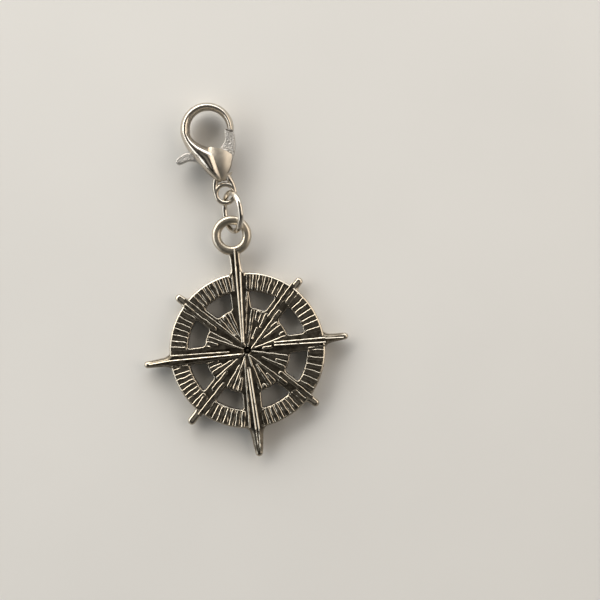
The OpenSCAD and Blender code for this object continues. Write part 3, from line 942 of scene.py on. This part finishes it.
class CharmWheelSettings(bpy.types.PropertyGroup):
    rim_diameter: length("Rim diameter", "Outside diameter of the rim", 18)
    rim_band: length("Rim band", "Width of the rim outside the windows", 2.1)
    hub_diameter: length("Hub diameter", "Diameter at the foot of the windows", 9.9)
    plate: length("Plate", "Thickness of the plate under the relief", 1.4)
    relief: length("Relief", "Height of the bars above the plate", 0.32)
    bar_width: length("Bar width", "Width of one raised bar on the rim", 0.5)
    loop_diameter: length("Loop diameter", "Outside diameter of the loop", 4.6)
    loop_wire: length("Loop wire", "Thickness of the loop", 1.06)
    silver: colour("Silver", "Colour of the raised metal", (0.545, 0.485, 0.39))
    # The dark colour of the tarnish in the recesses and of the painted shade on the tops, walls and pit
    tarnish_and_shade_colour: colour("Grooves", "Colour of the metal between the bars", (0.03, 0.022, 0.012))


class CharmRingSettings(bpy.types.PropertyGroup):
    diameter: length("Ring diameter", "Outside diameter of the jump ring", 5.09)
    wire: length("Ring wire", "Thickness of the jump ring's wire", 0.65)
    tilt: angle("Ring tilt", "Angle between the ring and the floor", 63.5)
    metal: colour("Ring metal", "Colour of the ring's plating", (0.62, 0.57, 0.495))


class CharmClaspSettings(bpy.types.PropertyGroup):
    hook_radius: length("Hook radius", "Outside radius of the hook", 3.1)
    lever_thickness: length("Lever thickness", "Thickness of the lever", 1.1)
    slot_gap: length("Slot gap", "Gap on each side of the lever", 0.12)
    tail_diameter: length("Tail diameter", "Outside diameter of the tail ring", 2.68)
    tail_wire: length("Tail wire", "Thickness of the tail ring's wire", 0.54)
    body_metal: colour("Body metal", "Colour of the clasp's plating", (0.6, 0.54, 0.455))
    lever_metal: colour("Lever metal", "Colour of the lever's matte plating", (0.54, 0.52, 0.49))
    pin_metal: colour("Pin metal", "Colour of the hidden pin", (0.55, 0.55, 0.55))


class CharmStageSettings(bpy.types.PropertyGroup):
    floor_colour: colour("Floor", "Colour of the floor", (0.7, 0.69, 0.665))
    sky: amount("Room", "Brightness of the dim room", 0.19)
    window: amount("Window", "Brightness of the soft window", 1.5)
    light: amount("Light", "Share of the lamps' full power", 1.15)
    camera_distance: length("Camera distance", "From the camera to the charm", 150)
    camera_tilt: angle("Camera tilt", "Camera's angle from straight down", 0)
    lens: amount("Lens", "Focal length in millimetres", 77.67)


def in_mm(metres):
    """Metres from a property as millimetres, without the rounding in its last digits."""
    return round(metres / MM, 5)


# Operators

class CHARM_OT_wheel(bpy.types.Operator):
    """Builds the cast wheel with its relief, handles, stem and loop"""
    bl_idname = "charm.wheel"
    bl_label = "Wheel"

    def execute(self, context):
        settings = context.scene.charm_wheel
        rim_r = in_mm(settings.rim_diameter) / 2
        rim_in_r = rim_r - in_mm(settings.rim_band)
        hub_r = in_mm(settings.hub_diameter) / 2
        plate = in_mm(settings.plate)
        top = plate + in_mm(settings.relief)
        shells = [wheel_plate(rim_r, rim_in_r, hub_r, plate)]
        shells += rim_bars(rim_r, rim_in_r, in_mm(settings.bar_width), top)
        shells += hub_rays(hub_r, top) + spoke_relief(top) + handles_and_stem()
        loop = ring_of_wire(in_mm(settings.loop_diameter), in_mm(settings.loop_wire), 120, square=0.95)
        shells.append(turned(loop, at=LOOP_AT))
        silver = plated_metal(
            "antique_silver", settings.silver, 0.8, (0.16, 0.3), (4e-4, 6e-6), (1.2e-4, 1.2e-6),
            tarnish_and_shade_colour=tuple(settings.tarnish_and_shade_colour), satin=0.11)
        wheel = mesh_object("wheel_casting", shells)
        up_stem = plan_of(wheel.data)[:, 1]
        mark_points(wheel.data, "satin", np.clip((up_stem - SATIN_FROM) / SATIN_FADE, 0, 1))
        finish_piece(wheel, silver, "charm", ["wheel"])
        return {"FINISHED"}


class CHARM_OT_jump_ring(bpy.types.Operator):
    """Builds the jump ring, an open ring of round wire with its ends pressed together"""
    bl_idname = "charm.jump_ring"
    bl_label = "Jump ring"

    def execute(self, context):
        settings = context.scene.charm_ring
        ring = ring_of_wire(in_mm(settings.diameter), in_mm(settings.wire), 160, seam=(-62, 0.06))
        ring = turned(turned(ring, degrees_y=-math.degrees(settings.tilt)), degrees_z=1, at=RING_AT)
        wire = mesh_object("jump_ring_wire", [ring])
        bright = plated_metal(
            "bright_ring_plating", settings.metal, 0.85, (0.1, 0.2), (5e-4, 4e-6), (8e-5, 1e-6))
        finish_piece(wire, bright, "charm", ["jump_ring"])
        return {"FINISHED"}


class CHARM_OT_clasp_body(bpy.types.Operator):
    """Builds the clasp's casting: hook, limb, lobe, lever slot and tail ring"""
    bl_idname = "charm.clasp_body"
    bl_label = "Clasp body"

    def execute(self, context):
        settings = context.scene.charm_clasp
        tail = ring_of_wire(in_mm(settings.tail_diameter), in_mm(settings.tail_wire), 96)
        slot = prism(SLOT, in_mm(settings.lever_thickness) / 2 + in_mm(settings.slot_gap))
        solids = [hook_and_limb(in_mm(settings.hook_radius)), petal(LOBE, 60)]
        solids += [oval_sweep(horn, 24) for horn in HORNS] + [tail]
        cuts = [slot, prism(HOOK_END, 3), prism(LOBE_END, 3)]
        body = carved("clasp_casting", list(map(in_clasp, solids)), list(map(in_clasp, cuts)))
        mark_points(body.data, "satin", lobe_share(plan_of(body.data)))
        bright = plated_metal(
            "bright_clasp_plating", settings.body_metal, 0.9, (0.16, 0.26), (9e-4, 9e-6),
            (1e-4, 1.5e-6), satin=0.26)
        finish_piece(body, bright, "charm", ["clasp_body"])
        return {"FINISHED"}


class CHARM_OT_clasp_lever(bpy.types.Operator):
    """Builds the clasp's lever with its gate and thumb piece, and dresses its pin"""
    bl_idname = "charm.clasp_lever"
    bl_label = "Clasp lever"

    def execute(self, context):
        settings = context.scene.charm_clasp
        lever = mesh_object("clasp_lever_casting", [in_clasp(lever_shell(in_mm(settings.lever_thickness)))])
        # The lever's end towards the hook is painted dark: painted shadow in the gap
        matte = plated_metal(
            "matte_lever_plating", settings.lever_metal, 0.8, (0.32, 0.42), (1.8e-4, 7.5e-5),
            (9e-5, 3.3e-5), tarnish_and_shade_colour=LEVER_END_SHADOW)
        finish_piece(lever, matte, "lever", ["clasp_lever"])
        steel = plated_metal(
            "turned_pin_steel", settings.pin_metal, 0.9, (0.3, 0.4), (4e-4, 2e-6), (5e-5, 1e-6))
        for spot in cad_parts["clasp_pin"].material_slots:
            spot.material = steel
        return {"FINISHED"}


class CHARM_OT_stage(bpy.types.Operator):
    """Builds the pale floor, the soft lights, the dim room and the camera"""
    bl_idname = "charm.stage"
    bl_label = "Stage"

    def execute(self, context):
        settings = context.scene.charm_stage
        floor = pale_floor(settings.floor_colour)
        for name, clock, elevation, width, height, power, tint in LAMPS:
            soft_lamp(name, clock, elevation, width, height, power * settings.light, tint)
        context.scene.world = window_light(settings.sky, settings.window)
        context.scene.view_settings.view_transform = "Standard"
        context.scene.camera = camera_above(settings.camera_distance, settings.camera_tilt, settings.lens)
        return {"FINISHED"}


# Panel and registration

class CHARM_PT_panel(bpy.types.Panel):
    """Lists the settings and the buttons that build the pieces"""
    bl_idname = "CHARM_PT_panel"
    bl_label = "Ship wheel charm"
    bl_space_type = "VIEW_3D"
    bl_region_type = "UI"
    bl_category = "Charm"

    def draw(self, context):
        for operator, group in STEPS:
            box = self.layout.box()
            box.operator(operator)
            for name in GROUPS[group].__annotations__:
                box.prop(getattr(context.scene, group), name)


STEPS = [
    ("charm.wheel", "charm_wheel"), ("charm.jump_ring", "charm_ring"), ("charm.clasp_body", "charm_clasp"),
    ("charm.clasp_lever", "charm_clasp"), ("charm.stage", "charm_stage")]
GROUPS = {
    "charm_wheel": CharmWheelSettings, "charm_ring": CharmRingSettings,
    "charm_clasp": CharmClaspSettings, "charm_stage": CharmStageSettings}
CLASSES = [
    *GROUPS.values(), CHARM_OT_wheel, CHARM_OT_jump_ring, CHARM_OT_clasp_body, CHARM_OT_clasp_lever,
    CHARM_OT_stage, CHARM_PT_panel]


def register():
    for cls in CLASSES:
        bpy.utils.register_class(cls)
    for name, group in GROUPS.items():
        setattr(bpy.types.Scene, name, PointerProperty(type=group))


def unregister():
    for name in GROUPS:
        delattr(bpy.types.Scene, name)
    for cls in reversed(CLASSES):
        bpy.utils.unregister_class(cls)


def main():
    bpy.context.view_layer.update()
    register()
    bpy.ops.charm.wheel()
    bpy.ops.charm.jump_ring()
    bpy.ops.charm.clasp_body()
    bpy.ops.charm.clasp_lever()
    bpy.ops.charm.stage()


if __name__ == "__main__":
    main()
